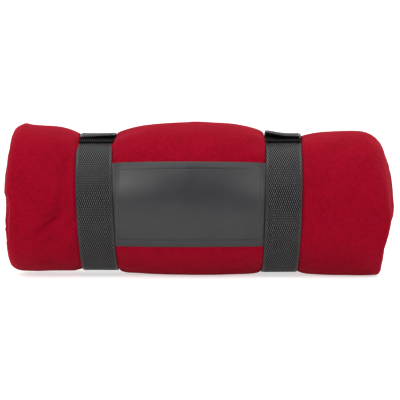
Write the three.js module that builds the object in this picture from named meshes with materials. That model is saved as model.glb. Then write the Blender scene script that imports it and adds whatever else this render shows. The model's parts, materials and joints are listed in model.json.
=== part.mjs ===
// Rolled fleece blanket in a two-strap carrier. Units are millimetres, +Z is up, X runs along the
// roll, and the front is towards -Y. An angle round the roll is measured from its top, in degrees,
// and grows towards the front: 90 is the front, 180 the bottom and -90 the back.
import * as THREE from "three";
import { mergeVertices } from "three/addons/utils/BufferGeometryUtils.js";

const GAP = 0.3; // between pieces that touch on the real object

// The roll.
const ROLL_END = { left: -201, right: 202 };
const GROOVE_HALF_HEIGHT = 67; // half the roll's height where a strap pulls it in
const DEPTH_RATIO = 1.012; // the roll sags a little, so it is deeper than it is high
// Beside a strap the roll swells quickly for QUICK_RUN and then slowly. The quick share is larger
// at the top, where the closed tab is thickest, than at the front and below. There the slow run is
// each stretch's own.
const QUICK_SHARE = { round: 0.12, top: 0.43 };
const QUICK_RUN = 4.5;
const TOP_SLOW_RUN = 25;
const CENTRE = { halfHeight: 81.8, axis: 79, run: 38 };
const DOME = {
  left: { start: -174, power: 3 },
  right: { start: 162, power: 2.3 },
};
const SMALLEST_RING = 0.3; // of the full section, where an end closes with a flat face
const ROUND_SEGMENTS = 60;

// The straps: nylon webbing, closed at the top with hook and loop.
const WEBBING = { width: 38, thickness: 1.4 };
const STRAPS = {
  left: {
    x: -105,
    axis: 74.4,
    slant: 0,
    grooveHalf: 20.4,
    end: { halfHeight: 77.1, axis: 81.4, run: 38 },
  },
  right: {
    x: 86,
    axis: 73.7,
    slant: 0.026,
    grooveHalf: 22.2,
    end: { halfHeight: 77.2, axis: 75.1, run: 18 },
  },
};
const INNER_END = -50; // where the webbing starts, under the closed tab
const ARM_HINGE = -130; // the webbing folds back here when it is opened
const TAB_HINGE = -60; // and the tab peels back from here
const RAMP_END = -52.5; // where the tab has climbed over the inner end
const TAB_TIP = 16;
const LOOP_TAPE = { width: 36, thickness: 1.3, from: -49.5, to: 26 };
const HOOK_TAPE = { width: 35, thickness: 1.2, from: -48, to: 15 };

// The panel, sewn under both straps on the front. Its middle line is level.
const PANEL = { thickness: 0.8, middle: 78.3, length: 90, tuck: 10 };
const PANEL_HEM = 8; // from the panel's upper and lower edges to their rows of stitches
const SIDE_ROW = 5; // from the webbing's edge to the panel's upright rows
const THREAD = 0.6;

// The blanket's free end, whose overlocked edge runs along the back.
const EDGE = { angle: -97, width: 4, thickness: 0.8, left: -172, right: 160 };

// Distances out from the roll's surface, layer by layer.
const WEBBING_LIFT = GAP + PANEL.thickness + GAP;
const WEBBING_TOP = WEBBING_LIFT + WEBBING.thickness;
const LOOP_LIFT = WEBBING_TOP + GAP;
const HOOK_LIFT = LOOP_LIFT + LOOP_TAPE.thickness + GAP;
const TAB_LIFT = HOOK_LIFT + HOOK_TAPE.thickness + GAP;

const MATERIALS = {
  fleece: new THREE.MeshStandardMaterial({ color: 0x960f26, roughness: 0.95, metalness: 0 }),
  webbing: new THREE.MeshStandardMaterial({ color: 0x444446, roughness: 0.7, metalness: 0 }),
  hookLoop: new THREE.MeshStandardMaterial({ color: 0x1c1c1e, roughness: 0.9, metalness: 0 }),
  panel: new THREE.MeshStandardMaterial({ color: 0x46464a, roughness: 0.5, metalness: 0 }),
  thread: new THREE.MeshStandardMaterial({ color: 0x2a2a2c, roughness: 0.8, metalness: 0 }),
  redThread: new THREE.MeshStandardMaterial({ color: 0x8a0d22, roughness: 0.8, metalness: 0 }),
};

const smoothStep = (t) => THREE.MathUtils.smoothstep(t, 0, 1);
const radians = THREE.MathUtils.degToRad;

// Evenly spaced values from a to b, both included.
function span(a, b, steps) {
  return Array.from({ length: steps + 1 }, (_, i) => THREE.MathUtils.lerp(a, b, i / steps));
}

// How much of its section the roll keeps at x, where its ends round over.
function domeFactor(x) {
  const side = x < 0 ? "left" : "right";
  const { start, power } = DOME[side];
  const share = THREE.MathUtils.clamp((x - start) / (ROLL_END[side] - start), 0, 1);
  return Math.max(SMALLEST_RING, (1 - share ** power) ** (1 / power));
}

// The roll's section at x: half its height, half its depth and the height of its axis. It isn't
// quite round: up, the cosine of the angle, says which stretch of the section is meant.
function rollSection(x, up) {
  const middle = (STRAPS.left.x + STRAPS.right.x) / 2;
  const strap = x < middle ? STRAPS.left : STRAPS.right;
  const crown = Math.abs(x - middle) < Math.abs(strap.x - middle) ? CENTRE : strap.end;
  const away = Math.max(0, Math.abs(x - strap.x) - strap.grooveHalf);
  const top = smoothStep((up - 0.35) / 0.4);
  const quick = THREE.MathUtils.lerp(QUICK_SHARE.round, QUICK_SHARE.top, top);
  const run = THREE.MathUtils.lerp(crown.run, TOP_SLOW_RUN, top);
  const swell = quick * smoothStep(away / QUICK_RUN) + (1 - quick) * (1 - Math.exp(-away / run));
  const height = THREE.MathUtils.lerp(GROOVE_HALF_HEIGHT, crown.halfHeight, swell) * domeFactor(x);
  return { height, depth: height * DEPTH_RATIO, axis: THREE.MathUtils.lerp(strap.axis, crown.axis, swell) };
}

function onRoll(x, angle, lift) {
  const a = radians(angle);
  const { height, depth, axis } = rollSection(x, Math.cos(a));
  return [x, -(depth + lift) * Math.sin(a), axis + (height + lift) * Math.cos(a)];
}

// A point on a strap, across being measured from the middle of its width.
function onStrap(strap, across, angle, lift) {
  const [, y, z] = onRoll(strap.x, angle, lift);
  return [strap.x + across + strap.slant * (z - strap.axis), y, z];
}

// Moves every vertex of a geometry and leaves one closed, welded mesh.
function reshape(geometry, move) {
  const position = geometry.getAttribute("position");
  for (let i = 0; i < position.count; i += 1) {
    position.setXYZ(i, ...move(position.getX(i), position.getY(i), position.getZ(i)));
  }
  geometry.deleteAttribute("normal");
  geometry.deleteAttribute("uv");
  return mergeVertices(geometry, 1e-4);
}

// A slab on the roll: across is a list of x or of distances across a strap, angles runs round the
// roll, and inner and outer give its two faces' distances from the roll at an angle.
function slab(across, angles, inner, outer, place) {
  const box = new THREE.BoxGeometry(1, 1, 1, across.length - 1, angles.length - 1, 1);
  const pick = (list, share) => list[Math.round(share * (list.length - 1))];
  return reshape(box, (u, v, w) => {
    const angle = pick(angles, 0.5 - v);
    return place(pick(across, u + 0.5), angle, (w > 0 ? outer : inner)(angle));
  });
}

// A closed rectangle of thread on a strap, reaching halfWidth either side of `middle`.
function threadFrame(strap, middle, halfWidth, from, to, lift) {
  const degrees = (length) => length / radians(GROOVE_HALF_HEIGHT);
  const outline = (grow, height) => {
    const angles = span(from - degrees(grow), to + degrees(grow), Math.ceil((to - from) / 5));
    const at = (side, angle) => onStrap(strap, middle + side * (halfWidth + grow), angle, height);
    return [...angles.map((a) => at(-1, a)), ...angles.reverse().map((a) => at(1, a))];
  };
  const half = THREAD / 2;
  const rails = [
    outline(half, lift),
    outline(half, lift + THREAD),
    outline(-half, lift + THREAD),
    outline(-half, lift),
  ];
  const count = rails[0].length;
  const index = [];
  for (let rail = 0; rail < 4; rail += 1) {
    for (let i = 0; i < count; i += 1) {
      const [a, b] = [rail * count + i, rail * count + ((i + 1) % count)];
      const [c, d] = [((rail + 1) % 4) * count + i, ((rail + 1) % 4) * count + ((i + 1) % count)];
      index.push(a, b, c, b, d, c);
    }
  }
  const geometry = new THREE.BufferGeometry();
  geometry.setAttribute("position", new THREE.Float32BufferAttribute(rails.flat(2), 3));
  geometry.setIndex(index);
  return geometry;
}

// Where the roll's rings stand: close together on the rounded ends and beside the straps.
function rollStations() {
  const middle = (STRAPS.left.x + STRAPS.right.x) / 2;
  const stations = new Set([ROLL_END.left, ROLL_END.right, middle - 25, middle, middle + 25]);
  for (const side of ["left", "right"]) {
    for (const share of [0, 0.25, 0.45, 0.62, 0.76, 0.88, 0.96]) {
      stations.add(THREE.MathUtils.lerp(DOME[side].start, ROLL_END[side], share));
    }
  }
  for (const { x, grooveHalf } of Object.values(STRAPS)) {
    for (const away of [0, 1.1, 2.2, 3.4, 4.5, 12, 22, 34]) {
      stations.add(x - grooveHalf - away);
      stations.add(x + grooveHalf + away);
    }
    stations.add(x);
  }
  return [...stations].sort((a, b) => a - b);
}

function blanket(stations) {
  const rings = stations.length - 1;
  const cylinder = new THREE.CylinderGeometry(1, 1, 1, ROUND_SEGMENTS, rings);
  return reshape(cylinder, (up, along, back) => {
    const x = stations[Math.round((along + 0.5) * rings)];
    const { height, depth, axis } = rollSection(x, up);
    return [x, depth * back, Math.max(0, axis + height * up)];
  });
}

const flat = (lift) => () => lift;

// The tab climbs from the webbing's own level to the top of the hook and loop.
function tabLift(extra) {
  return (angle) => {
    const share = smoothStep((angle - TAB_HINGE) / (RAMP_END - TAB_HINGE));
    return THREE.MathUtils.lerp(WEBBING_LIFT, TAB_LIFT, share) + extra;
  };
}

const halfWebbing = [-WEBBING.width / 2, WEBBING.width / 2];
const turn = (length) => length / radians(GROOVE_HALF_HEIGHT); // degrees for a length round the roll

function webbing(strap, from, to, inner = flat(WEBBING_LIFT), outer = flat(WEBBING_TOP)) {
  const angles = span(from, to, Math.ceil(Math.abs(to - from) / 5));
  return slab(halfWebbing, angles, inner, outer, (x, angle, lift) => onStrap(strap, x, angle, lift));
}

function tape(strap, { width, thickness, from, to }, lift) {
  const angles = span(from, to, Math.ceil((to - from) / 5));
  const place = (x, angle, out) => onStrap(strap, x, angle, out);
  return slab([-width / 2, width / 2], angles, flat(lift), flat(lift + thickness), place);
}

function tab(strap) {
  const clear = turn(GAP / 2);
  const ramp = span(TAB_HINGE + clear, RAMP_END, 5);
  const lap = span(RAMP_END, TAB_TIP, 14).slice(1);
  const place = (x, angle, lift) => onStrap(strap, x, angle, lift);
  return slab(halfWebbing, [...ramp, ...lap], tabLift(0), tabLift(WEBBING.thickness), place);
}

// The row of thread across the loop tape's end, in front of the tab.
function loopTapeStitching(strap) {
  const to = LOOP_TAPE.to - turn(2);
  const lift = LOOP_LIFT + LOOP_TAPE.thickness + GAP;
  const row = { width: LOOP_TAPE.width - 3, thickness: THREAD, from: to - turn(THREAD), to };
  return tape(strap, row, lift);
}

// The angle of a point on the panel at x, `down` being its distance below the panel's middle line.
function panelAngle(x, down) {
  const { height, axis } = rollSection(x, 0);
  return THREE.MathUtils.radToDeg(Math.acos((PANEL.middle - axis) / height) + down / height);
}

const onPanel = (x, down, lift) => onRoll(x, panelAngle(x, down), lift);

function panelRow(stations, downs) {
  const lift = GAP + PANEL.thickness + GAP;
  return slab(stations, downs, flat(lift), flat(lift + THREAD), onPanel);
}

const group = new THREE.Group();

function add(name, geometry, material) {
  const mesh = new THREE.Mesh(geometry, MATERIALS[material]);
  mesh.name = name;
  group.add(mesh);
}

const stations = rollStations();
const between = (from, to) => [from, ...stations.filter((x) => x > from && x < to), to];
const panelLeft = STRAPS.left.x + WEBBING.width / 2;
const panelRight = STRAPS.right.x - WEBBING.width / 2;
const panelDowns = span(-PANEL.length / 2, PANEL.length / 2, 11);

add("blanket", blanket(stations), "fleece");
const edgeAngles = [EDGE.angle, EDGE.angle + EDGE.width / radians(CENTRE.halfHeight)];
const edgeStations = between(EDGE.left, EDGE.right);
const edge = slab(edgeStations, edgeAngles, flat(GAP), flat(GAP + EDGE.thickness), onRoll);
add("blanket_edge_stitching", edge, "redThread");

const panelStations = between(panelLeft - PANEL.tuck, panelRight + PANEL.tuck);
const panel = slab(panelStations, panelDowns, flat(GAP), flat(GAP + PANEL.thickness), onPanel);
add("panel_cover", panel, "panel");
const rowStations = between(panelLeft + SIDE_ROW + 1, panelRight - SIDE_ROW - 1);
const hemRow = PANEL.length / 2 - PANEL_HEM;
add("panel_stitch_top", panelRow(rowStations, [-hemRow, THREAD - hemRow]), "thread");
add("panel_stitch_bottom", panelRow(rowStations, [hemRow - THREAD, hemRow]), "thread");
const uprightDowns = [panelDowns[0] + 1.5, ...panelDowns.slice(1, -1), panelDowns.at(-1) - 1.5];
const leftRow = [panelLeft + SIDE_ROW - THREAD, panelLeft + SIDE_ROW];
const rightRow = [panelRight - SIDE_ROW, panelRight - SIDE_ROW + THREAD];
add("panel_stitch_left", panelRow(leftRow, uprightDowns), "thread");
add("panel_stitch_right", panelRow(rightRow, uprightDowns), "thread");

for (const [side, strap] of Object.entries(STRAPS)) {
  const clear = turn(GAP / 2);
  const inward = side === "left" ? 1 : -1;
  const seamMiddle = inward * (WEBBING.width / 2 - 5.5);
  const hookRows = [HOOK_TAPE.from + 2, HOOK_TAPE.to - 1.5];
  const lapTop = TAB_LIFT + WEBBING.thickness + GAP;
  const seamLift = WEBBING_TOP + GAP;
  add(`strap_${side}_front`, webbing(strap, INNER_END, 360 + ARM_HINGE - clear), "webbing");
  add(`strap_${side}_back`, webbing(strap, ARM_HINGE + clear, TAB_HINGE - clear), "webbing");
  add(`strap_${side}_tab`, tab(strap), "webbing");
  add(`loop_tape_${side}`, tape(strap, LOOP_TAPE, LOOP_LIFT), "hookLoop");
  add(`hook_tape_${side}`, tape(strap, HOOK_TAPE, HOOK_LIFT), "hookLoop");
  add(`loop_tape_stitching_${side}`, loopTapeStitching(strap), "thread");
  add(`hook_tape_stitching_${side}`, threadFrame(strap, 0, 15.5, ...hookRows, lapTop), "thread");
  const seamEnds = [-1, 1].map((end) => panelAngle(strap.x, end * (PANEL.length / 2 - 4)));
  const seam = threadFrame(strap, seamMiddle, 3, ...seamEnds, seamLift);
  add(`panel_seam_${side}`, seam, "thread");
}

export default group;
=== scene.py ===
"""A rolled fleece blanket in a two-strap carrier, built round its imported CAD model."""

import json
import math

import bpy
import numpy as np
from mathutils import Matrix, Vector


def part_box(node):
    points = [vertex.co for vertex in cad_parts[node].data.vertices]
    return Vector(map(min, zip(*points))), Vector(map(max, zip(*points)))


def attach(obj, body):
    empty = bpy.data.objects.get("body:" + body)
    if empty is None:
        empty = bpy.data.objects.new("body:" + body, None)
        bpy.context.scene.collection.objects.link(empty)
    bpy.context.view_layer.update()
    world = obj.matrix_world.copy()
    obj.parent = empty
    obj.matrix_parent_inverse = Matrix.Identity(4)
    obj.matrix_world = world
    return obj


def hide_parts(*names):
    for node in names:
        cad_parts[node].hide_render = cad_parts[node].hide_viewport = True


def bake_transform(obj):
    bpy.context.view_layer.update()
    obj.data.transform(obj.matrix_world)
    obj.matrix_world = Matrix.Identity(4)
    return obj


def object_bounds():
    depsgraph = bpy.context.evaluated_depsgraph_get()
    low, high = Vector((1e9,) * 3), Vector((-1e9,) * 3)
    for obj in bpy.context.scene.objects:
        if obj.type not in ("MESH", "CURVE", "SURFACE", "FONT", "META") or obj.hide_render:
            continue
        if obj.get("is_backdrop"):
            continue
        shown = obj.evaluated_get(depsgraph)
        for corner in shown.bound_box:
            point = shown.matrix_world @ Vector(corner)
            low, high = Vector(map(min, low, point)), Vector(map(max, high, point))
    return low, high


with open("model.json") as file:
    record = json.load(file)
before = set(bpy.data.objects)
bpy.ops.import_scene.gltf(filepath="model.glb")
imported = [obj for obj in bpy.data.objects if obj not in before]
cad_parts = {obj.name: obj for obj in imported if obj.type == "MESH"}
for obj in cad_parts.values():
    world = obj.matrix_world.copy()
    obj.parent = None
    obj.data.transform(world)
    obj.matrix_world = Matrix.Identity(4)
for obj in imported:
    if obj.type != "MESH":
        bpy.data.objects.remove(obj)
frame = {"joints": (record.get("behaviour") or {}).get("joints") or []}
CAD_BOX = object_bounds()
SIDES = ("left", "right")
HINGES = {joint["name"]: joint["pos_m"] for joint in frame["joints"]}

# All lengths are metres. An angle round the roll is measured in degrees from its top and grows
# towards the front, so 90 is the front, 180 the bottom and -90 the back.

# The roll and its straps, as in the CAD source but for the differences noted beside a value.
ROLL_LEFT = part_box("blanket")[0].x
ROLL_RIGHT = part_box("blanket")[1].x
GROOVE = 0.067
DEPTH_RATIO = 1.012
QUICK_RUN, QUICK_ROUND = 0.0045, 0.12
# The blanket rises beside a strap in a quick step, sharper and of its own height at the top and bottom.
SHARP_RUN, QUICK_TOP, QUICK_BOTTOM = 0.0009, 0.34, 0.16
STRAP_GAP = 0.0002
# A strap has its place and axis height, its lean, sideways wander and drop, and the lengths over which
# the blanket rises beside it on top; "end", like CENTRE, is the size of the roll beyond it.
CENTRE = {"half": 0.0818, "axis": 0.079, "run": 0.038}
STRAPS = {
    "left": {"x": -0.105, "axis": 0.0744, "slant": 0.0, "wander": 0.0023, "drop": 0.0004,
             "top_runs": (0.025, 0.017),
             "end": {"half": 0.0771, "axis": 0.0814, "run": 0.038}},
    "right": {"x": 0.086, "axis": 0.0737, "slant": 0.026, "wander": 0.0, "drop": 0.0018,
              "top_runs": (0.019, 0.021),
              "end": {"half": 0.0772, "axis": 0.0751, "run": 0.018}},
}
MIDDLE = (STRAPS["left"]["x"] + STRAPS["right"]["x"]) / 2
WEBBING_WIDTH, WEBBING_THICKNESS = 0.037, 0.0014  # 1 mm narrower than the CAD webbing
INNER_END, ARM_HINGE, TAB_HINGE, RAMP_END, TAB_TIP = -50.0, -130.0, -60.0, -52.5, 16.0
WEBBING_LIFT, LOOP_LIFT, HOOK_LIFT, TAB_LIFT = 0.0014, 0.0031, 0.0047, 0.0062
PANEL_MIDDLE, PANEL_LENGTH, PANEL_TUCK = 0.0770, 0.090, 0.010  # 1.3 mm lower than the CAD panel
SWELL_UNDER_EDGE = 0.0009

# What the roll's surface does apart from the straps: its rounded ends, its sag below the axis, its
# wrinkles, and the soft diagonal crease on the left end as points of x and angle.
RIGHT_DOME = {"from": 0.163, "power": 2.6, "below": 0.16, "above": 1.0}
LEFT_DOME = {"from": -0.180, "power": 3.0, "below": 0.4, "above": 0.8}
SAG = 0.018
PUCKER, BROAD_WAVES, FINE_WAVES = 0.0009, 0.0006, 0.00018
CREASE_DEPTH, CREASE_WIDTH = 0.0069, 0.0042
CREASE_LINE = [(-0.130, 43), (-0.1368, 60), (-0.1373, 80), (-0.1380, 93), (-0.1450, 102),
               (-0.1570, 110), (-0.1765, 120)]
HEM_CORNER = {"x": -0.1815, "reach": 0.004, "span": 24.0, "height": 0.0014}

# The blanket: a 1.2 m wide sheet folded in three, then rolled up along its 1.5 m.
STACK = 0.0118
CLOTH_SHARE = 0.84
CORE = 0.0015
TURNS = 6.0
FLAP_ANGLE = -97.0
FLAP_STACK = 0.0062
FLAP_RUN = 42.0
STEP_WINDOW = 40.0
ROLL_RADIUS = CORE + STACK * (TURNS + 1)


def smooth(t):
    t = np.clip(t, 0, 1)
    return t * t * (3 - 2 * t)


def mix(a, b, t):
    return a + (b - a) * t


def waves(seed, *coordinates, count=6, low=0.5, high=2.0):
    """A smooth random field between about -1 and 1: a sum of sine waves over the coordinates."""
    rng = np.random.default_rng(seed)
    total = 0.0
    for _ in range(count):
        direction = rng.normal(size=len(coordinates))
        direction *= rng.uniform(low, high) / np.linalg.norm(direction)
        phase = rng.uniform(0, 2 * math.pi)
        total = total + np.sin(sum(d * c for d, c in zip(direction, coordinates)) + phase)
    return total / math.sqrt(count)


# --- The roll's shape -------------------------------------------------------------------------


def wander(side, angle):
    """How far a strap wanders sideways from its plane on its way down the front."""
    swing = -np.cos(np.radians(1.3 * (angle - 30.0)))
    return STRAPS[side]["wander"] * swing * smooth((angle - 17.0) / 12.0) * smooth((235.0 - angle) / 50.0)


def stray(side, angle):
    """How far the middle of a strap is from its own x at an angle."""
    forward = np.where(np.asarray(angle) < -125.0, np.asarray(angle) + 360.0, angle)
    return STRAPS[side]["slant"] * GROOVE * np.cos(np.radians(angle)) + wander(side, forward)


def strap_distance(x, angle, side):
    """How far x is from the middle of a strap."""
    return x - STRAPS[side]["x"] - stray(side, angle)


def strap_drop(side, angle):
    """How much lower a strap hangs under the roll than its groove's circle."""
    return STRAPS[side]["drop"] * smooth(-np.cos(np.radians(angle)))


def section(x, angle, quick_share=None):
    """Half the roll's height, its axis height and the distance from a strap, before wrinkles."""
    left = x < MIDDLE
    near = np.where(left, strap_distance(x, angle, "left"), strap_distance(x, angle, "right"))
    inward = np.where(left, near > 0, near < 0)
    away = np.abs(near) - WEBBING_WIDTH / 2 - STRAP_GAP

    def pick(key):
        ends = np.where(left, STRAPS["left"]["end"][key], STRAPS["right"]["end"][key])
        return np.where(inward, CENTRE[key], ends)

    cosine = np.cos(np.radians(angle))
    top, bottom = smooth((cosine - 0.50) / 0.36), smooth((-cosine - 0.35) / 0.4)
    quick = quick_share
    if quick_share is None:
        quick = mix(mix(QUICK_ROUND, QUICK_TOP, top), QUICK_BOTTOM, bottom)
    inner, outer = (np.where(left, *(STRAPS[side]["top_runs"][i] for side in SIDES)) for i in (0, 1))
    run = mix(pick("run"), np.where(inward, inner, outer), top)
    quick_run = mix(QUICK_RUN, SHARP_RUN, top + bottom)
    swell = quick * smooth(away / quick_run) + (1 - quick) * (1 - np.exp(-np.maximum(away, 0) / run))
    strap_axis = np.where(left, STRAPS["left"]["axis"], STRAPS["right"]["axis"])
    groove = GROOVE + SWELL_UNDER_EDGE + np.where(left, *(strap_drop(side, angle) for side in SIDES))
    return mix(groove, pick("half"), swell), mix(strap_axis, pick("axis"), swell), away


def crease(x, angle):
    """Depth of the soft diagonal crease on the left end."""
    line = np.array(CREASE_LINE)
    line[:, 1] = np.radians(line[:, 1]) * ROLL_RADIUS
    arc = np.radians(angle) * ROLL_RADIUS
    best = np.full(np.shape(x + arc), 1.0)
    fade = np.zeros_like(best)
    total = len(line) - 1
    for i in range(total):
        (ax, ay), (bx, by) = line[i], line[i + 1]
        length2 = (bx - ax) ** 2 + (by - ay) ** 2
        t = np.clip(((x - ax) * (bx - ax) + (arc - ay) * (by - ay)) / length2, 0, 1)
        distance = np.hypot(x - ax - t * (bx - ax), arc - ay - t * (by - ay))
        closer = distance < best
        best = np.where(closer, distance, best)
        share = np.clip((i + t) / total, 0.02, 0.98)
        fade = np.where(closer, np.sin(math.pi * share) ** 0.6, fade)
    return fade * np.exp(-((best / CREASE_WIDTH) ** 2))


def panel_profile(x):
    """The bed that the panel presses into the roll: half the height and the axis at x."""
    half, axis, away = section(x, np.full_like(x, 90.0), quick_share=0.0)
    return half - mix(0.0006, 0.0012, smooth(away / 0.03)), axis


def panel_angle(x, down):
    """The angle of a point on the panel, `down` being its distance below the panel's middle line."""
    half, axis = panel_profile(x)
    return np.degrees(np.arccos((PANEL_MIDDLE - axis) / half) + down / half)


def surface_half(x, angle):
    """Half height of the blanket's outer surface, with its wrinkles and the panel's pressure."""
    half, axis, away = section(x, angle)
    arc = np.radians(angle) * ROLL_RADIUS
    beside = np.exp(-np.maximum(away, 0) / 0.016) * smooth(away / 0.004)
    pucker = waves(3, x * 90, arc * 190, count=7, low=0.5, high=1.4)
    broad = waves(5, x * 40, arc * 45, count=6, low=0.6, high=1.4)
    fine = waves(8, x * 210, arc * 210, count=8, low=0.6, high=1.5)
    calm = smooth(away / 0.012)
    half = half + PUCKER * beside * pucker + BROAD_WAVES * calm * broad + FINE_WAVES * calm * fine
    half = half - CREASE_DEPTH * crease(x, angle) + HEM_CORNER["height"] * corner_lift(x, angle)
    half = half * (1 + SAG * calm * smooth(-np.cos(np.radians(angle))))
    pressed, _ = panel_profile(x)
    down = np.radians(angle - panel_angle(x, 0.0)) * pressed
    under = smooth((PANEL_LENGTH / 2 + 0.0035 - np.abs(down)) / 0.006)
    inside = (x > STRAPS["left"]["x"]) & (x < STRAPS["right"]["x"])
    return np.where(inside, mix(half, np.minimum(half, pressed), under), half), axis


def corner_lift(x, angle):
    """The hem's corner that stands up a little at the top of the left end."""
    beside = (x - HEM_CORNER["x"]) / HEM_CORNER["reach"]
    return np.exp(-(beside**2) - (angle / HEM_CORNER["span"]) ** 2)


def spiral_radius(turn):
    """Inner radius of the rolled stack after so many turns."""
    return CORE + STACK * turn


def turn_angle(turn):
    """Angle round the roll after so many turns, falling to the flap's angle at the last one."""
    return FLAP_ANGLE + ((TURNS - turn) * 360.0)


def round_angle(angle):
    """The same angle between -180 and 180."""
    return (angle + 180.0) % 360.0 - 180.0


def stack_thickness(turn):
    before_end = (TURNS - turn) * 360.0
    return mix(FLAP_STACK, STACK, smooth(before_end / FLAP_RUN))


def envelope_correction(angle):
    """Evens out the spiral's growth, so that only a low step is left at the flap."""

    def full(degrees):
        return ROLL_RADIUS / (ROLL_RADIUS - STACK * degrees / 360.0)

    since = (angle - FLAP_ANGLE) % 360.0
    signed = np.where(since > 180, since - 360, since)
    across_flap = (signed + STEP_WINDOW) / (2 * STEP_WINDOW)
    blend = mix(full(360 - STEP_WINDOW), full(STEP_WINDOW), across_flap)
    return np.where(np.abs(signed) < STEP_WINDOW, blend, full(since))


def place(x, radius, angle):
    """Where a point of the rolled stack goes, from its place in the plain spiral."""
    angle = round_angle(angle)
    share = radius * envelope_correction(angle) / ROLL_RADIUS
    half, axis = surface_half(x, angle)
    plain, _, _ = section(x, angle)
    half = mix(plain, half, np.clip(share, 0, 1.1) ** 3)
    cosine = np.cos(np.radians(angle))
    upper = smooth((cosine + 0.5) / 1.3)
    droop = dome(RIGHT_DOME, x - RIGHT_DOME["from"], ROLL_RIGHT - RIGHT_DOME["from"], upper)
    droop = droop + dome(LEFT_DOME, LEFT_DOME["from"] - x, LEFT_DOME["from"] - ROLL_LEFT, upper)
    half = half * (1 - droop * share**2)
    return np.stack([x + 0 * half, -share * half * DEPTH_RATIO * np.sin(np.radians(angle)),
                     axis + share * half * cosine * flattened(-cosine * half, axis)], axis=-1)


def dome(shape, beyond, reach, upper):
    """How much of its radius the roll loses where an end rounds over: more above than below."""
    power = shape["power"]
    share = np.clip(beyond / reach, 0, 0.97)
    return (1 - (1 - share**power) ** (1 / power)) * mix(shape["below"], shape["above"], upper)


def flattened(depth, axis, soft=0.03):
    """The factor that lifts the roll's underside to the floor, with a soft corner."""
    ratio = (axis - 0.0002) / np.maximum(depth, 1e-6)
    inside = np.clip(0.5 + 0.5 * (ratio - 1) / soft, 0, 1)
    return mix(ratio, 1.0, inside) - soft * inside * (1 - inside)


# --- Mesh making ------------------------------------------------------------------------------


def signed_volume(points, triangles):
    a, b, c = (points[triangles[:, i]] for i in range(3))
    return np.einsum("ij,ij->i", a, np.cross(b, c)).sum() / 6


def make_mesh(name, points, quads, triangles=(), uv=None, material=None):
    """A smooth closed mesh from arrays, turned so that its faces look out."""
    points = np.asarray(points, float)
    quads = np.asarray(quads, np.int64).reshape(-1, 4)
    triangles = np.asarray(triangles, np.int64).reshape(-1, 3)
    halves = np.concatenate([quads[:, :3], quads[:, [0, 2, 3]], triangles])
    if signed_volume(points, halves) < 0:
        quads, triangles = quads[:, ::-1], triangles[:, ::-1]
    loops = np.concatenate([quads.ravel(), triangles.ravel()])
    starts = np.concatenate([np.arange(len(quads)) * 4, len(quads) * 4 + np.arange(len(triangles)) * 3])
    mesh = bpy.data.meshes.new(name)
    mesh.vertices.add(len(points))
    mesh.vertices.foreach_set("co", points.astype(np.float32).ravel())
    mesh.loops.add(len(loops))
    mesh.loops.foreach_set("vertex_index", loops.astype(np.int32))
    mesh.polygons.add(len(starts))
    mesh.polygons.foreach_set("loop_start", starts.astype(np.int32))
    mesh.polygons.foreach_set("use_smooth", np.full(len(starts), True))
    if uv is not None:
        layer = mesh.uv_layers.new(name="UVMap")
        layer.data.foreach_set("uv", np.asarray(uv, float)[loops].astype(np.float32).ravel())
    mesh.update(calc_edges=True)
    made = bpy.data.objects.new(name, mesh)
    bpy.context.scene.collection.objects.link(made)
    mesh.materials.append(material)
    return made


def tube_faces(rings, count):
    """Quads between successive closed rings of `count` points."""
    ring, step = np.meshgrid(np.arange(rings - 1), np.arange(count), indexing="ij")
    here, there = ring * count + step, ring * count + (step + 1) % count
    return np.stack([here, there, there + count, here + count], -1).reshape(-1, 4)


def end_cap(start, count, turned):
    """Closes a ribbon's end ring, whose points run along one face and back along the other."""
    last = count // 2 - 1
    low = np.arange(last - 1)
    quads = start + np.stack([low, low + 1, 2 * last - low - 1, 2 * last - low], -1)
    tips = start + np.array([[last - 1, last, last + 1], [count - 1, 0, 2 * last]])
    return (quads[:, ::-1], tips[:, ::-1]) if turned else (quads, tips)


def ribbon(name, rows, uvs, material):
    """A closed mesh from rings that each run along one face of a ribbon and back along the other."""
    count = len(rows[0])
    first = end_cap(0, count, True)
    last = end_cap((len(rows) - 1) * count, count, False)
    quads = np.concatenate([tube_faces(len(rows), count), first[0], last[0]])
    tips = np.concatenate([first[1], last[1]])
    return make_mesh(name, np.concatenate(rows), quads, tips, np.concatenate(uvs), material)


# --- Materials --------------------------------------------------------------------------------


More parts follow.
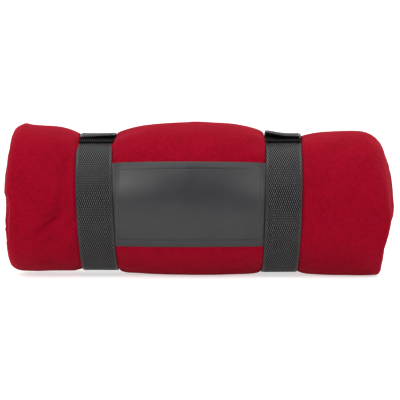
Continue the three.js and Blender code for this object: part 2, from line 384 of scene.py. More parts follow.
class Nodes:
    """A material's node tree, with a short way to add and link nodes."""

    def __init__(self, name):
        self.material = bpy.data.materials.new(name)
        self.material.use_nodes = True
        self.tree = self.material.node_tree
        self.shader = self.tree.nodes["Principled BSDF"]

    def add(self, kind, settings=None, **inputs):
        node = self.tree.nodes.new(kind)
        for key, value in (settings or {}).items():
            setattr(node, key, value)
        for key, value in inputs.items():
            self.put(node, key.replace("_", " "), value)
        return node

    def put(self, node, key, value):
        socket = node.inputs[int(key)] if str(key).isdigit() else node.inputs[key]
        if isinstance(value, bpy.types.NodeSocket):
            self.tree.links.new(value, socket)
        else:
            socket.default_value = value

    def math(self, operation, a, b=0.0, clamp=False):
        node = self.tree.nodes.new("ShaderNodeMath")
        node.operation = operation
        node.use_clamp = clamp
        self.put(node, 0, a)
        self.put(node, 1, b)
        return node.outputs[0]

    def noise(self, coordinates, scale, detail=2.0, roughness=0.5):
        node = self.add("ShaderNodeTexNoise", Vector=coordinates, Scale=scale, Detail=detail)
        node.inputs["Roughness"].default_value = roughness
        return node.outputs["Fac"]

    def mix(self, factor, a, b):
        node = self.tree.nodes.new("ShaderNodeMix")
        node.data_type = "RGBA"
        for key, value in ((0, factor), (6, a), (7, b)):
            self.put(node, key, value)
        return node.outputs[2]

    def spread(self, value, low, high):
        """Maps low..high of a value to 0..1."""
        node = self.tree.nodes.new("ShaderNodeMapRange")
        for key, number in ((0, value), (1, low), (2, high)):
            self.put(node, key, number)
        return node.outputs[0]

    def uv(self):
        return self.tree.nodes.new("ShaderNodeTexCoord").outputs["UV"]

    def bump(self, height, distance, strength=1.0, normal=None):
        node = self.add("ShaderNodeBump", Height=height, Distance=distance, Strength=strength)
        if normal is not None:
            self.put(node, "Normal", normal)
        return node.outputs["Normal"]

    def surface(self, **inputs):
        for key, value in inputs.items():
            self.put(self.shader, key.replace("_", " "), value)
        return self.material


def fleece():
    n = Nodes("red_fleece")
    uv = n.uv()
    nap = n.noise(uv, 850.0, 3.0, 0.6)
    clumps = n.noise(uv, 240.0, 3.0, 0.55)
    patches = n.noise(uv, 34.0, 2.0)
    tone = n.math("ADD", n.math("MULTIPLY", nap, 0.45), n.math("MULTIPLY", clumps, 0.35))
    tone = n.math("ADD", tone, n.math("MULTIPLY", patches, 0.2))
    colour = n.mix(n.spread(tone, 0.34, 0.66), (0.187, 0.0013, 0.0098, 1), (0.326, 0.0029, 0.0168, 1))
    height = n.math("ADD", n.math("MULTIPLY", nap, 0.5), clumps)
    return n.surface(
        Base_Color=colour,
        Roughness=0.95,
        Specular_IOR_Level=0.015,
        Sheen_Weight=0.36,
        Sheen_Roughness=0.45,
        Sheen_Tint=(1.0, 0.10, 0.14, 1),
        Normal=n.bump(height, 0.0011, 0.55),
    )


WEAVE_ACROSS, WEAVE_ALONG, SELVEDGE = 0.00102, 0.00536, 0.0022


def webbing():
    n = Nodes("grey_webbing")
    uv = n.uv()
    parts = n.add("ShaderNodeSeparateXYZ", Vector=uv)
    across, along = parts.outputs[0], parts.outputs[1]
    column = n.math("DIVIDE", across, WEAVE_ACROSS)
    parity = n.math("MODULO", n.math("ABSOLUTE", n.math("FLOOR", column)), 2.0)
    row = n.math("ADD", n.math("DIVIDE", along, WEAVE_ALONG), n.math("MULTIPLY", parity, 0.5))
    side = n.math("SUBTRACT", n.math("FRACT", column), 0.5)
    squared = n.math("POWER", n.math("ABSOLUTE", side), 2.0)
    rib = n.math("SUBTRACT", 1.0, n.math("MULTIPLY", squared, 3.4))
    wave = n.math("COSINE", n.math("MULTIPLY", row, 2 * math.pi))
    swell = n.math("ADD", n.math("MULTIPLY", wave, 0.5), 0.5)
    strand = n.math("MULTIPLY", rib, n.math("POWER", swell, 1.9))
    woven = WEBBING_WIDTH / 2 - SELVEDGE
    edge = n.spread(n.math("ABSOLUTE", across), woven - 0.0006, woven)
    flecks = n.noise(uv, 1400.0, 2.0)
    calm = n.math("MULTIPLY", n.math("ADD", flecks, 0.15), 0.5)
    weave = n.mix(edge, strand, calm)
    patches = n.noise(uv, 60.0, 2.0)
    tone = n.math("MULTIPLY", weave, n.math("ADD", n.math("MULTIPLY", patches, 0.7), 0.65))
    # The base colour runs from near black in the gaps between the weave's floats to the yarn's grey on
    # their crowns. The dark gaps are painted shade.
    colour = n.mix(tone, (0.002, 0.002, 0.0022, 1), (0.070, 0.068, 0.074, 1))
    return n.surface(
        Base_Color=colour,
        Roughness=0.30,
        Specular_IOR_Level=n.math("MULTIPLY", weave, 0.85),
        Sheen_Weight=0.05,
        Normal=n.bump(n.math("ADD", weave, n.math("MULTIPLY", flecks, 0.15)), 0.0003, 0.8),
    )


def leatherette():
    n = Nodes("grey_leatherette")
    uv = n.uv()
    cells = n.add("ShaderNodeTexVoronoi", {"feature": "DISTANCE_TO_EDGE"}, Vector=uv, Scale=1100.0)
    grain = n.math("MINIMUM", cells.outputs["Distance"], 0.25)
    haze = n.noise(uv, 45.0, 3.0)
    colour = n.mix(n.spread(haze, 0.3, 0.7), (0.016, 0.016, 0.0182, 1), (0.022, 0.022, 0.0248, 1))
    rough = n.math("ADD", n.math("MULTIPLY", n.noise(uv, 300.0, 3.0), 0.16), 0.34)
    return n.surface(
        Base_Color=colour,
        Roughness=rough,
        Specular_IOR_Level=0.5,
        Normal=n.bump(grain, 0.0004, 0.35),
    )


def hook_and_loop(name, scale):
    n = Nodes(name)
    uv = n.uv()
    loops = n.noise(uv, scale, 4.0, 0.7)
    cells = n.add("ShaderNodeTexVoronoi", Vector=uv, Scale=scale * 0.9).outputs["Distance"]
    colour = n.mix(n.spread(loops, 0.35, 0.7), (0.0012, 0.0012, 0.0014, 1), (0.0065, 0.0065, 0.007, 1))
    height = n.math("ADD", loops, n.math("MULTIPLY", cells, -0.6))
    return n.surface(
        Base_Color=colour,
        Roughness=0.85,
        Specular_IOR_Level=0.12,
        Sheen_Weight=0.02,
        Normal=n.bump(height, 0.0009),
    )


def thread(name, dark, light):
    n = Nodes(name)
    uv = n.uv()
    wave = n.add("ShaderNodeTexWave", {"bands_direction": "DIAGONAL"}, Vector=uv, Scale=420.0)
    ply = wave.outputs["Fac"]
    colour = n.mix(ply, dark, light)
    return n.surface(Base_Color=colour, Roughness=0.6, Sheen_Weight=0.2, Normal=n.bump(ply, 0.0002))


FLEECE = fleece()
WEBBING = webbing()
PANEL = leatherette()
LOOP = hook_and_loop("loop_pile", 1500.0)
HOOK = hook_and_loop("hook_pile", 900.0)
THREAD = thread("grey_thread", (0.005, 0.005, 0.0055, 1), (0.024, 0.024, 0.026, 1))
RED_THREAD = thread("red_thread", (0.16, 0.003, 0.010, 1), (0.40, 0.010, 0.03, 1))


# --- The blanket ------------------------------------------------------------------------------


def sheet_stations():
    """Where the outer layer is cut into strips along the roll: finest beside the straps."""
    xs = []
    for strap in STRAPS.values():
        edge = WEBBING_WIDTH / 2
        for away in (-0.014, -0.007, -0.0003, 0.0005, 0.0013, 0.0026, 0.0042, 0.0068, 0.0102, 0.014):
            xs += [strap["x"] - edge - away, strap["x"] + edge + away]
    left, right = STRAPS["left"]["x"], STRAPS["right"]["x"]
    reach = WEBBING_WIDTH / 2 + 0.018
    xs += list(np.linspace(left + reach, right - reach, 24))
    xs += list(np.linspace(ROLL_LEFT, left - reach, 30))
    xs += list(np.linspace(right + reach, ROLL_RIGHT, 16))
    return np.array(sorted(xs))


def turn_stations():
    """How many turns lie before each cross-row: fine on the outermost turn, coarse inside."""
    turns, turn = [], 0.0
    while turn < TURNS - 1.03:
        turns.append(turn)
        turn += min(15.0 / 360.0, 0.0105 / (2 * math.pi * spiral_radius(turn + 0.5)))
    last = list(np.linspace(turn, TURNS, 134))
    return np.array(turns + last)


END_UNEVENNESS = 0.0009
END_MARGIN = 0.001


def bulge(angle, start, end, soft=7.0):
    """1 between two angles and 0 outside them, with soft ends."""
    return smooth((angle - start) / soft + 0.5) * smooth((end - angle) / soft + 0.5)


def layer_ends(turn):
    """Where the folded stack ends on the left and right after so many turns."""
    share = (spiral_radius(turn) + STACK) / ROLL_RADIUS
    under = smooth(-1.5 * math.cos(math.radians(turn_angle(turn))))
    left_wave, right_wave = (END_UNEVENNESS * waves(seed, turn * 5.0, count=5, low=0.4, high=2.2)
                             for seed in (11, 12))
    angle = round_angle(turn_angle(turn))
    outermost = smooth((share - 0.4) / 0.3)
    left_step = -0.0014 * bulge(angle, 45.0, 84.0) + 0.0030 * bulge(angle, 88.0, 124.0, 10.0)
    right_step = 0.0022 * bulge(angle, 94.0, 124.0, 16.0)
    left_cone = mix(0.009 * share**2.5, 0.006 * share**3, under)
    right_cone = mix(0.009 * share**3, 0.014 * share**1.2, under)
    left = ROLL_LEFT + left_cone + left_wave + outermost * left_step
    right = ROLL_RIGHT - right_cone + right_wave + outermost * right_step
    return left + END_MARGIN, right - END_MARGIN


def follow_straps(xs, angle):
    """Moves stations sideways with the straps, so that the same ones lie beside them all round."""
    for side in SIDES:
        beside = 1 - smooth((np.abs(xs - STRAPS[side]["x"]) - 0.030) / 0.014)
        xs = xs + beside * stray(side, angle)
    return xs


def stretch_ends(xs, left, right):
    """Fits stations to a layer's own ends, moving only those past the fixed middle."""
    fixed_left, fixed_right = -0.150, 0.130
    low = fixed_left + (xs - fixed_left) * (left - fixed_left) / (ROLL_LEFT - fixed_left)
    high = fixed_right + (xs - fixed_right) * (right - fixed_right) / (ROLL_RIGHT - fixed_right)
    return np.where(xs < fixed_left, low, np.where(xs > fixed_right, high, xs))


def fold_line(left, right_in, left_in, right, outer, inner, pitch):
    """The folded sheet's middle line across the roll: rows of x, height, and the side that faces out."""
    bend = np.linspace(0, math.pi, 7)[1:-1]
    top = stretch_ends(outer, left, right_in)
    middle = stretch_ends(inner, left_in, right_in)[::-1]
    bottom = stretch_ends(inner, left_in, right)
    sine, cosine, half = np.sin(bend), np.cos(bend), pitch / 2

    def row(x, height, side_x, side_h):
        return np.stack([x, height + 0 * x, side_x + 0 * x, side_h + 0 * x], -1)

    return np.concatenate([
        row(top, 2.5 * pitch, 0, 1),
        row(right_in + sine * half, 2 * pitch + cosine * half, sine, cosine),
        row(middle, 1.5 * pitch, 0, -1),
        row(left_in - sine * half, pitch + cosine * half, sine, -cosine),
        row(bottom, 0.5 * pitch, 0, 1),
    ])


def sheet_ring(turn, outer, inner, thin):
    """One closed cross-section of the folded sheet, with the lengths along it."""
    pitch = stack_thickness(turn) / 3
    half_cloth = pitch * CLOTH_SHARE / 2
    left, right = layer_ends(turn)
    line = fold_line(left, right - pitch, left + pitch, right, outer, inner, pitch)
    line[:, 0] = follow_straps(line[:, 0], round_angle(turn_angle(turn)))
    run = np.concatenate([[0], np.cumsum(np.hypot(*np.diff(line[:, :2], axis=0).T))])
    one = line[:, :2] + line[:, 2:] * half_cloth * thin
    other = line[:, :2] - line[:, 2:] * half_cloth * thin
    first = line[:1, :2] - [[half_cloth * 0.8, 0]]
    last = line[-1:, :2] + [[half_cloth * 0.8, 0]]
    ring = np.concatenate([one, last, other[::-1], first])
    across = np.concatenate([run, run[-1:], run[::-1], run[:1]])
    return ring, across


EDGE_LIP = 0.0012
EDGE_LEFT, EDGE_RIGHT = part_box("blanket_edge_stitching")[0].x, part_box("blanket_edge_stitching")[1].x
OUTER_FACE = (2.5 + CLOTH_SHARE / 2) / 3  # the outer face's place in the folded stack


def edge_wave(x):
    """How many degrees the free edge strays from a straight line."""
    return 1.6 * waves(21, x * 38, count=4, low=0.5, high=1.5)


def blanket():
    outer = sheet_stations()
    inner = np.array([*np.linspace(ROLL_LEFT, -0.150, 6), *np.linspace(-0.13, 0.115, 12),
                      *np.linspace(0.130, ROLL_RIGHT, 7)])
    turns = list(turn_stations())
    rows, uvs = [], []
    lip = EDGE_LIP / (2 * math.pi * ROLL_RADIUS)
    for turn, thin in [(turn, 1.0) for turn in turns] + [(turns[-1] + lip, 0.5)]:
        ring, across = sheet_ring(turn, outer, inner, thin)
        flap = smooth((turn - TURNS + 0.12) / 0.12)
        wavy = flap * edge_wave(ring[:, 0])
        rows.append(place(ring[:, 0], spiral_radius(turn) + ring[:, 1], turn_angle(turn) + wavy))
        along = 2 * math.pi * (CORE * turn + STACK * turn * (turn + 1) / 2)
        uvs.append(np.stack([across, np.full_like(across, along)], -1))
    made = ribbon("rolled_blanket", rows, uvs, FLEECE)
    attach(made, "roll")
    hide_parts("blanket")
    return made


def edge_stitches():
    """Overlock thread along the blanket's free edge: stitches over it, and a chain along each side."""
    pitch, reach, radius = 0.0034, 0.0042, 0.00032
    stack = stack_thickness(TURNS)

    def on_edge(x, inside, below):
        """A point so far inside the free edge and so far below the outer face."""
        turn = TURNS - inside / (2 * math.pi * ROLL_RADIUS)
        turned = turn_angle(turn) + edge_wave(x)
        return place(x, spiral_radius(turn) + stack * OUTER_FACE - below, turned)

    xs = np.arange(EDGE_LEFT, EDGE_RIGHT, pitch)
    inside = np.array([reach, reach * 0.9, reach * 0.5, 0.0002, -0.0020, -0.0024, -0.0016])
    below = np.array([0.0006, -0.0003, -0.0004, -0.0003, 0.0003, 0.0014, 0.0026])
    paths = [on_edge(x + np.linspace(0, 0.0011, 7), inside, below) for x in xs]
    for row, depth in ((reach, -0.0002), (-0.0024, 0.0009)):
        for x in xs:
            chain = x + np.linspace(-0.1, 1.1, 7) * pitch
            sway = 0.0004 * np.sin(np.linspace(0, 2 * math.pi, 7))
            paths.append(on_edge(chain, row + sway, depth + 0 * chain))
    made = tubes("blanket_edge_overlock", paths, radius, RED_THREAD, sides=5)
    finish_thread(made, "blanket_edge_stitching", "roll")


# --- Straps and tapes -------------------------------------------------------------------------

PATH_RADIUS = 0.0690
REPEAT_ROWS = 6
RELIEF = 0.00034
ARM_START, TAB_START = 175.0, 265.0
FULL_TURN = 360.0
LOOP_TAPE = {"width": 0.036, "thickness": 0.0015, "from": -49.5}
LOOP_END = {"left": 23.5, "right": 20.5}  # a little short of the CAD tapes
HOOK_TAPE = {"width": 0.035, "thickness": 0.0015, "from": -48.0, "to": 15.0}
PILE_SINK = 0.0001
ARM_BEND, TAB_BEND = (0.009, 0.009), (0.002, 0.013)  # reach of a bend before and after its hinge


def length_at(angle):
    """Length along a strap's path at an angle round it."""
    return PATH_RADIUS * np.radians(angle)


def degrees(length):
    return math.degrees(length / PATH_RADIUS)


def on_strap(side, across, angle, lift):
    """A point on a strap, across being measured from the middle of its width."""
    strap = STRAPS[side]
    turned = np.radians(angle)
    z = strap["axis"] + (GROOVE + lift + strap_drop(side, angle)) * np.cos(turned)
    y = -(GROOVE * DEPTH_RATIO + lift) * np.sin(turned)
    x = strap["x"] + across + strap["slant"] * (z - strap["axis"]) + wander(side, angle)
    return np.stack(np.broadcast_arrays(x, y, z), -1)


def weave(across, along):
    """The webbing's relief, 0 to 1: warp floats, every other column shifted by half a repeat."""
    column = np.floor(across / WEAVE_ACROSS)
    side = across / WEAVE_ACROSS - column - 0.5
    swell = 0.5 + 0.5 * np.cos(2 * math.pi * (along / WEAVE_ALONG + 0.5 * (column % 2)))
    relief = (1 - 3.4 * side**2) * swell**1.3
    flat = smooth((np.abs(across) - WEBBING_WIDTH / 2 + SELVEDGE) / 0.0005)
    return mix(relief, 0.62, flat)


def webbing_across():
    """Stations across the webbing: a ridge and a valley to each column, close at the rounded edges."""
    columns = int((WEBBING_WIDTH / 2 - SELVEDGE) / WEAVE_ACROSS)
    inner = (np.arange(-2 * columns, 2 * columns) + 0.5) * WEAVE_ACROSS / 2
    half = WEBBING_WIDTH / 2
    edge = np.array([half - gap for gap in (0.0030, 0.0022, 0.0014, 0.0008, 0.0004, 0.00012)])
    return np.concatenate([-edge[::-1], inner, edge])


def strip(name, side, width, across, angles, lift, thickness, material, relief=None, ends=(True, True)):
    """A strip lying along a strap's path. `lift` gives its inner face's height from across and angle."""
    half = width / 2
    edge = np.clip((half - np.abs(across)) / 0.0009, 0, 1)
    round_off = np.sqrt(np.clip(1 - (1 - edge) ** 2, 0.06, 1))
    tips = np.array([half, -half])
    rows, uvs = [], []
    stops = [(angle, 1.0) for angle in angles]
    lip = degrees(0.0003) * np.sign(angles[-1] - angles[0])
    if ends[0]:
        stops = [(angles[0] - lip, 0.45), *stops]
    if ends[1]:
        stops = [*stops, (angles[-1] + lip, 0.45)]
    for angle, thin in stops:
        along = length_at(angle)
        middle = lift(across, angle) + thickness / 2
        spread = round_off * thin * thickness / 2
        dips = RELIEF * (1 - relief(across, along)) if relief else 0.0
        under = RELIEF * (1 - relief(across, along + WEAVE_ALONG / 4)) if relief else 0.0
        fuzz = 0.0 if relief else 0.00012 * waves(31, across * 900, along * 900, count=8)
        top = on_strap(side, across, angle, middle + spread - dips + fuzz)
        bottom = on_strap(side, across, angle, middle - spread + under)
        end = on_strap(side, tips, angle, lift(tips, angle) + thickness / 2)
        rows.append(np.concatenate([top, end[:1], bottom[::-1], end[1:]]))
        u = np.concatenate([across, tips[:1], across[::-1], tips[1:]])
        uvs.append(np.stack([u, np.full_like(u, along)], -1))
    return ribbon(name, rows, uvs, material)


def repeat_angles(start, end):
    """Angles from start to end, spaced so that the weave's repeat holds a whole number of rows."""
    step = math.degrees(WEAVE_ALONG / REPEAT_ROWS / PATH_RADIUS)
    rows = np.arange(math.ceil(start / step + 0.3), math.floor(end / step - 0.3) + 1) * step
    return np.concatenate([[start], rows, [end]])


def tab_shape(side, across, angle):
    """How far a tab's loose tip stands off: a twisted corner on the right, a slight rise on the left."""
    share = across / (WEBBING_WIDTH / 2)
    run = degrees(0.045 if side == "right" else 0.022)
    tip = smooth((angle - TAB_TIP + run) / run)
    if side == "right":
        return tip * (0.0014 + 0.0027 * np.clip(-share + 0.2, 0, 1.2) ** 1.3 - 0.0006 * share)
    return tip * (0.0004 + 0.0011 * share)


def webbing_lift(side, shift=0.0):
    def lift(across, angle):
        bent = np.radians(angle % FULL_TURN)
        wobble = waves(41 if side == "left" else 42, bent * 5.0, across * 30, count=5, low=0.5, high=1.6)
        return WEBBING_LIFT + shift + 0.00016 * wobble

    return lift


def tab_lift(side, start):
    """The height of a tab's inner face, or of the tape below it, at start above the roll."""

    def lift(across, angle):
        turned = angle - FULL_TURN if angle > 180 else angle
        climb = smooth((turned - TAB_HINGE) / (RAMP_END - TAB_HINGE))
        base = webbing_lift(side)(across, angle)
        return mix(base, start, climb) + tab_shape(side, across, turned)

    return lift


def strap(side):
    across = webbing_across()
    body, arm, tab = "roll", f"strap_{side}", f"tab_{side}"

    def piece(name, start, end, lift, ends):
        angles = repeat_angles(start, end)
        made = strip(f"strap_{side}_{name}_webbing", side, WEBBING_WIDTH, across, angles, lift,
                     WEBBING_THICKNESS, WEBBING, weave, ends)
        return made

    front = piece("front", INNER_END, ARM_START, webbing_lift(side), (True, False))
    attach(front, body)
    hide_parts(f"strap_{side}_front")
    back = piece("back", ARM_START, TAB_START, webbing_lift(side), (False, False))
    bend_at(back, body, arm, f"strap_{side}_open", ARM_HINGE, ARM_BEND)
    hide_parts(f"strap_{side}_back")
    lap = piece("tab", TAB_START, FULL_TURN + TAB_TIP, tab_lift(side, TAB_LIFT), (False, True))
    bend_at(lap, arm, tab, f"tab_{side}_peel", TAB_HINGE, TAB_BEND)
    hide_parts(f"strap_{side}_tab")
    loop = {**LOOP_TAPE, "to": LOOP_END[side]}
    tape(side, "loop", loop, LOOP, lambda u, angle: LOOP_LIFT - PILE_SINK + 0 * u, body)
    tape(side, "hook", HOOK_TAPE, HOOK, tab_lift(side, HOOK_LIFT - PILE_SINK), tab)


def bend_at(obj, body, child, hinge, angle, reach):
    """Bakes a piece's placement into its mesh."""
    before, after = reach
    pin = Vector(HINGES[hinge])
    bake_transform(obj)


def tape(side, kind, size, material, lift, body):
    width = size["width"]
    rim, flat = width / 2 - 0.0002, width / 2 - 0.0008
    across = np.concatenate([[-rim], np.linspace(-flat, flat, 34), [rim]])
    angles = np.linspace(size["from"], size["to"], int((size["to"] - size["from"]) / 0.85))
    name, thickness = f"{kind}_tape_{side}_pile", size["thickness"]
    made = strip(name, side, width, across, angles, lift, thickness, material)
    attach(made, body)
    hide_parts(f"{kind}_tape_{side}")


# --- Thread -----------------------------------------------------------------------------------


def tubes(name, paths, radius, material, sides=6):
    """Many short threads as one mesh. Each path is a list of points; its ends taper."""
    points, quads, triangles, uvs = [], [], [], []
    total = 0
    for path in paths:
        path = np.asarray(path, float)
        tangent = np.gradient(path, axis=0)
        tangent /= np.linalg.norm(tangent, axis=1, keepdims=True)
        guide = np.array([0.31, 0.17, 0.93])
        side = np.cross(tangent, guide)
        side /= np.linalg.norm(side, axis=1, keepdims=True)
        other = np.cross(tangent, side)
        turn = np.arange(sides) * 2 * math.pi / sides
        taper = np.full(len(path), radius)
        taper[[0, -1]] *= 0.4
        rings = path[:, None] + taper[:, None, None] * (
            np.cos(turn)[None, :, None] * side[:, None] + np.sin(turn)[None, :, None] * other[:, None]
        )
        run = np.concatenate([[0], np.cumsum(np.linalg.norm(np.diff(path, axis=0), axis=1))])
        tips = np.stack([path[0] - tangent[0] * radius * 0.4, path[-1] + tangent[-1] * radius * 0.4])
        quads.append(total + tube_faces(len(path), sides))
        points.append(np.concatenate([rings.reshape(-1, 3), tips]))
        around = np.broadcast_to(turn * radius, (len(path), sides))
        along = np.broadcast_to(run[:, None], (len(path), sides))
        uvs.append(np.concatenate([np.stack([around, along], -1).reshape(-1, 2), [[0, 0], [0, run[-1]]]]))
        here, there = np.arange(sides), (np.arange(sides) + 1) % sides
        tip, far, last = len(path) * sides, len(path) * sides + 1, (len(path) - 1) * sides
        triangles.append(total + np.stack([there, here, np.full(sides, tip)], -1))
        triangles.append(total + np.stack([last + here, last + there, np.full(sides, far)], -1))
        total += len(points[-1])
    return make_mesh(name, np.concatenate(points), np.concatenate(quads), np.concatenate(triangles),
                     np.concatenate(uvs), material)


def row_of_stitches(route, place_on, pitch, length, height, scale=PATH_RADIUS * math.pi / 180, points=7):
    """Paths of separate stitches along a route of corners. `place_on` puts them, and `scale` is the
    length of one unit of a corner's second coordinate, a degree on a strap."""
    paths = []
    for (u0, a0), (u1, a1) in zip(route[:-1], route[1:]):
        run = math.hypot(u1 - u0, (a1 - a0) * scale)
        count = max(1, round(run / pitch))
        for i in range(count):
            middle = (i + 0.5) / count
            share = middle + np.linspace(-0.5, 0.5, points) * length / run
            arch = np.sin(np.linspace(0, math.pi, points)) ** 0.5
            paths.append(place_on(mix(u0, u1, share), mix(a0, a1, share), height * (arch - 0.55)))
    return paths


THREAD_RADIUS = 0.00024
STITCH_PITCH, STITCH_LENGTH = 0.0030, 0.0027


def finish_thread(made, node, body):
    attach(made, body)
    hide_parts(node)


def loose_ends(side, on_tab):
    """Loose threads at a tab's tip: a frayed corner on the left, one standing up on the right."""
    if side == "right":
        share = np.linspace(0, 1, 8)
        return [on_tab(-0.0102 + 0.0004 * share**2, TAB_TIP - 1.5 - 0.6 * share, 0.0032 * share)]
    rng = np.random.default_rng(61)
    paths = []
    for _ in range(12):
        share = np.linspace(0, 1, 7)
        out = rng.uniform(0.0008, 0.0024)
        onward = rng.uniform(-1.0, 1.6)
        lift = rng.uniform(-0.0012, 0.0012)
        start = TAB_TIP - rng.uniform(0.2, 2.4)
        paths.append(on_tab(0.0176 + out * share, start + onward * share, lift * share**2 - 0.0002))
    return paths


def strap_stitches(side):
    inward = 1 if side == "left" else -1
    top_of_webbing = WEBBING_LIFT + WEBBING_THICKNESS
    seam = inward * (WEBBING_WIDTH / 2 - 0.0055)
    low, high = seam - 0.003, seam + 0.003
    at = np.array(STRAPS[side]["x"] + seam)
    reach = PANEL_LENGTH / 2 - 0.004
    start, end = (float(panel_angle(at, down)) for down in (-reach, reach))
    frame_route = [(low, start), (high, start), (high, end), (low, end), (low, start)]

    def on_webbing(u, angle, height):
        return on_strap(side, u, angle, top_of_webbing - 0.0001 + height)

    paths = row_of_stitches(frame_route, on_webbing, STITCH_PITCH, STITCH_LENGTH, 0.0005)
    made = tubes(f"panel_seam_{side}_stitches", paths, THREAD_RADIUS, THREAD)
    finish_thread(made, f"panel_seam_{side}", "roll")

    row = LOOP_END[side] - degrees(0.0023)
    reach = LOOP_TAPE["width"] / 2 - 0.0015

    def on_loop(u, angle, height):
        return on_strap(side, u, angle, LOOP_LIFT + LOOP_TAPE["thickness"] + height)

    paths = row_of_stitches([(-reach, row), (reach, row)], on_loop, STITCH_PITCH, STITCH_LENGTH, 0.0005)
    made = tubes(f"loop_tape_{side}_stitches", paths, THREAD_RADIUS, THREAD)
    finish_thread(made, f"loop_tape_stitching_{side}", "roll")

    start, end, reach = HOOK_TAPE["from"] + 2, HOOK_TAPE["to"] - 1.5, 0.0155
    lift = tab_lift(side, TAB_LIFT)

    def on_tab(u, angle, height):
        places = zip(np.atleast_1d(u), np.atleast_1d(angle))
        base = np.array([lift(np.array([x]), a)[0] for x, a in places])
        return on_strap(side, u, angle, base + WEBBING_THICKNESS + height)

    route = [(-reach, start), (reach, start), (reach, end), (-reach, end), (-reach, start)]
    paths = row_of_stitches(route, on_tab, STITCH_PITCH, STITCH_LENGTH, 0.0005)
    paths += loose_ends(side, on_tab)
    made = tubes(f"hook_tape_{side}_stitches", paths, THREAD_RADIUS, THREAD)
    finish_thread(made, f"hook_tape_stitching_{side}", f"tab_{side}")


# --- The panel --------------------------------------------------------------------------------

PANEL_HEM = 0.008
PANEL_LEFT = STRAPS["left"]["x"] + WEBBING_WIDTH / 2
PANEL_RIGHT = STRAPS["right"]["x"] - WEBBING_WIDTH / 2
PANEL_LAYER, PRESSED_LAYER = 0.00075, 0.00045
LOW_FACE, HIGH_FACE = 0.55, 1.62  # where the single and the doubled layer lie, in layers
SIDE_ROW = 0.005


def panel_rise(x):
    """0 under the straps, where the panel's layers are pressed together, and 1 between them."""
    inside = np.minimum(x - PANEL_LEFT, PANEL_RIGHT - x)
    return smooth((inside + 0.001) / 0.006)


def panel_heights(x, down):
    """The middle of the panel's outer layer above its bed: higher at the hems, where it is doubled."""
    layer = mix(PRESSED_LAYER, PANEL_LAYER, panel_rise(x))
    edge = PANEL_LENGTH / 2 - np.abs(down)
    single = smooth((edge - PANEL_HEM - 0.0006) / 0.0014)
    slack = 0.0003 * waves(51, x * 40, down * 60, count=5, low=0.4, high=1.3)
    pulled = 0.00045 * np.exp(-(((edge - PANEL_HEM) / 0.0009) ** 2))
    loose = single * (slack + 0.0003) - pulled
    return layer * mix(HIGH_FACE, HIGH_FACE - 1, single) + panel_rise(x) * loose


def on_panel(x, down, height):
    half, axis = panel_profile(x)
    turned = np.radians(panel_angle(x, down))
    reach = half + height
    forward, upward = reach * DEPTH_RATIO * np.sin(turned), reach * np.cos(turned)
    return np.stack([x + 0 * reach, -forward, axis + upward], -1)


def panel_ring(x):
    """One upright section of the panel: hem turned in, outer layer, hem turned in, and back inside."""
    layer = mix(PRESSED_LAYER, PANEL_LAYER, panel_rise(x))
    low, high = LOW_FACE * layer, HIGH_FACE * layer
    radius = (high - low) / 2
    edge, fold = PANEL_LENGTH / 2, PANEL_LENGTH / 2 - radius
    bend = np.linspace(0, math.pi, 6)[1:-1]
    turned_in = np.linspace(edge - PANEL_HEM - 0.001, fold, 5)
    hem = PANEL_LENGTH / 2 - PANEL_HEM + np.linspace(0.0016, -0.0024, 9)
    inner = np.linspace(-hem[-1] + 0.0012, hem[-1] - 0.0012, 44)
    outer = np.linspace(hem[0] + 0.0015, fold, 5)
    main = np.concatenate([-outer[::-1], -hem, inner, hem[::-1], outer])
    middle, sine, cosine = (low + high) / 2, np.sin(bend), np.cos(bend)
    rows = [
        (-turned_in, np.full(5, low), 0 * turned_in, -1 + 0 * turned_in),
        (-fold - radius * sine, middle - radius * cosine, -sine, -cosine),
        (main, panel_heights(x, main), 0 * main, 1 + 0 * main),
        (fold + radius * sine, middle + radius * cosine, sine, cosine),
        (turned_in[::-1], np.full(5, low), 0 * turned_in, -1 + 0 * turned_in),
    ]
    down, height, side_d, side_h = (np.concatenate(part) for part in zip(*rows))
    half = layer * 0.45
    tips = np.array([half, -half])
    downs = np.concatenate([down + side_d * half, down[-1:] + tips[1:], (down - side_d * half)[::-1],
                            down[:1] + tips[:1]])
    heights = np.concatenate([height + side_h * half, height[-1:], (height - side_h * half)[::-1],
                              height[:1]])
    run = np.concatenate([[0], np.cumsum(np.hypot(np.diff(down), np.diff(height)))])
    return downs, heights, np.concatenate([run, run[-1:], run[::-1], run[:1]])


def panel():
    tuck = [PANEL_LEFT - PANEL_TUCK, PANEL_RIGHT + PANEL_TUCK]
    near = np.array([-0.006, -0.003, -0.001, 0.0, 0.001, 0.002, 0.0032, 0.0046, 0.0062, 0.008, 0.010])
    middle = np.linspace(PANEL_LEFT + 0.0125, PANEL_RIGHT - 0.0125, 50)
    xs = np.concatenate([tuck[:1], PANEL_LEFT + near, middle, PANEL_RIGHT - near[::-1], tuck[1:]])
    rows, uvs = [], []
    for x in xs:
        downs, heights, along = panel_ring(x)
        rows.append(on_panel(np.full_like(downs, x), downs, heights))
        uvs.append(np.stack([np.full_like(along, x), along], -1))
    made = ribbon("panel_sheet", rows, uvs, PANEL)
    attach(made, "roll")
    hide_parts("panel_cover")


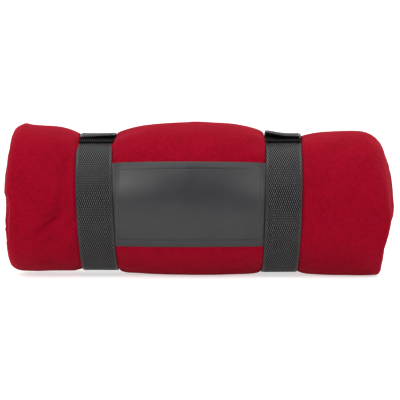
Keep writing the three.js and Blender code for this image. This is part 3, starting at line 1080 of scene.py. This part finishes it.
def panel_stitches():
    row = PANEL_LENGTH / 2 - PANEL_HEM
    upright = PANEL_LENGTH / 2 - 0.0015
    left, right = PANEL_LEFT + SIDE_ROW, PANEL_RIGHT - SIDE_ROW
    routes = {
        "top": [(left + 0.001, -row), (right - 0.001, -row)],
        "bottom": [(left + 0.001, row), (right - 0.001, row)],
        "left": [(left, -upright), (left, upright)],
        "right": [(right, -upright), (right, upright)],
    }

    def place_on(x, down, height):
        layer = mix(PRESSED_LAYER, PANEL_LAYER, panel_rise(x))
        return on_panel(x, down, panel_heights(x, down) + 0.45 * layer + height)

    for name, route in routes.items():
        paths = row_of_stitches(route, place_on, 0.0036, 0.0030, 0.00045, scale=1.0)
        made = tubes(f"panel_{name}_stitches", paths, 0.00027, THREAD)
        finish_thread(made, f"panel_stitch_{name}", "roll")


# --- Camera, light and floor ------------------------------------------------------------------


def studio():
    target = Vector((0.0013, 0.0, 0.07815))
    distance, elevation, field = 1.7, math.radians(3.0), 0.4216
    back = Vector((0, -math.cos(elevation), math.sin(elevation)))
    lens = bpy.data.cameras.new("camera")
    lens.sensor_width = 36.0
    lens.lens = 36.0 * distance / field
    lens.clip_end = 100
    camera = bpy.data.objects.new("camera", lens)
    camera.location = target + distance * back
    camera.rotation_euler = (target - camera.location).to_track_quat("-Z", "Y").to_euler()
    bpy.context.scene.collection.objects.link(camera)
    bpy.context.scene.camera = camera
    light("overhead", (0.0, -0.2, 2.2), (0, 0, 0.08), 2.0, 1.6, 17)
    light("left_softbox", (-1.5, -1.7, 1.4), (0, 0, 0.08), 1.2, 1.2, 27)
    light("right_softbox", (1.6, -1.7, 1.3), (0, 0, 0.08), 1.0, 1.1, 18)
    world = bpy.data.worlds.new("studio")
    world.use_nodes = True
    world.node_tree.nodes["Background"].inputs["Color"].default_value = (1, 1, 1, 1)
    world.node_tree.nodes["Background"].inputs["Strength"].default_value = 1.0
    bpy.context.scene.world = world
    bpy.context.scene.view_settings.view_transform = "Standard"


def light(name, place_at, target, width, depth, power):
    data = bpy.data.lights.new(name, "AREA")
    data.shape = "RECTANGLE"
    data.size, data.size_y, data.energy = width, depth, power
    lamp = bpy.data.objects.new(name, data)
    lamp.location = place_at
    lamp.rotation_euler = (Vector(target) - Vector(place_at)).to_track_quat("-Z", "Y").to_euler()
    bpy.context.scene.collection.objects.link(lamp)


def floor():
    """A plain pale floor, whose rim curves up into a wall all round."""
    bend = np.linspace(0, math.pi / 2, 12)
    rim = [(3.0 + math.sin(a), 1.0 - math.cos(a)) for a in bend]
    profile = [(0.02, 0.0), (1.0, 0.0), *rim, (4.0, 5.0)]
    around = 96
    points = [(0.0, 0.0, 0.0)]
    for radius, height in profile:
        for i in range(around):
            a = 2 * math.pi * i / around
            points.append((radius * math.cos(a), radius * math.sin(a), height))
    faces = [(0, 1 + i, 1 + (i + 1) % around) for i in range(around)]
    for ring in range(len(profile) - 1):
        start = 1 + ring * around
        for i in range(around):
            j = (i + 1) % around
            faces.append((start + i, start + around + i, start + around + j, start + j))
    made = bpy.data.objects.new("floor", bpy.data.meshes.new("floor"))
    made.data.from_pydata(points, [], faces)
    made.data.materials.append(pale_floor())
    for polygon in made.data.polygons:
        polygon.use_smooth = True
    bpy.context.scene.collection.objects.link(made)
    made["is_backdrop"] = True


def pale_floor():
    """Pale to the camera everywhere. It lights the object as a pale floor with a dark front wall."""
    n = Nodes("pale_floor")
    place_on = n.tree.nodes.new("ShaderNodeTexCoord").outputs["Object"]
    ahead = n.add("ShaderNodeSeparateXYZ", Vector=place_on).outputs[1]
    front = n.spread(ahead, -0.7, -2.2)
    seen = n.tree.nodes.new("ShaderNodeLightPath").outputs["Is Camera Ray"]
    near = n.math("SUBTRACT", 1.0, front)
    lit = n.math("MULTIPLY", near, n.math("ADD", n.math("MULTIPLY", seen, 0.36), 0.24))
    glow = n.math("ADD", lit, n.math("MULTIPLY", seen, front))
    colour = n.mix(front, (0.82, 0.82, 0.82, 1), (0.16, 0.16, 0.16, 1))
    return n.surface(Base_Color=colour, Roughness=0.9, Emission_Color=(1, 1, 1, 1), Emission_Strength=glow)


def save_sizes():
    boxes = {"cad": CAD_BOX, "visual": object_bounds()}
    {name: [list(corner) for corner in box] for name, box in boxes.items()}


studio()
floor()
blanket()
edge_stitches()
for side in SIDES:
    strap(side)
    strap_stitches(side)
panel()
panel_stitches()
save_sizes()
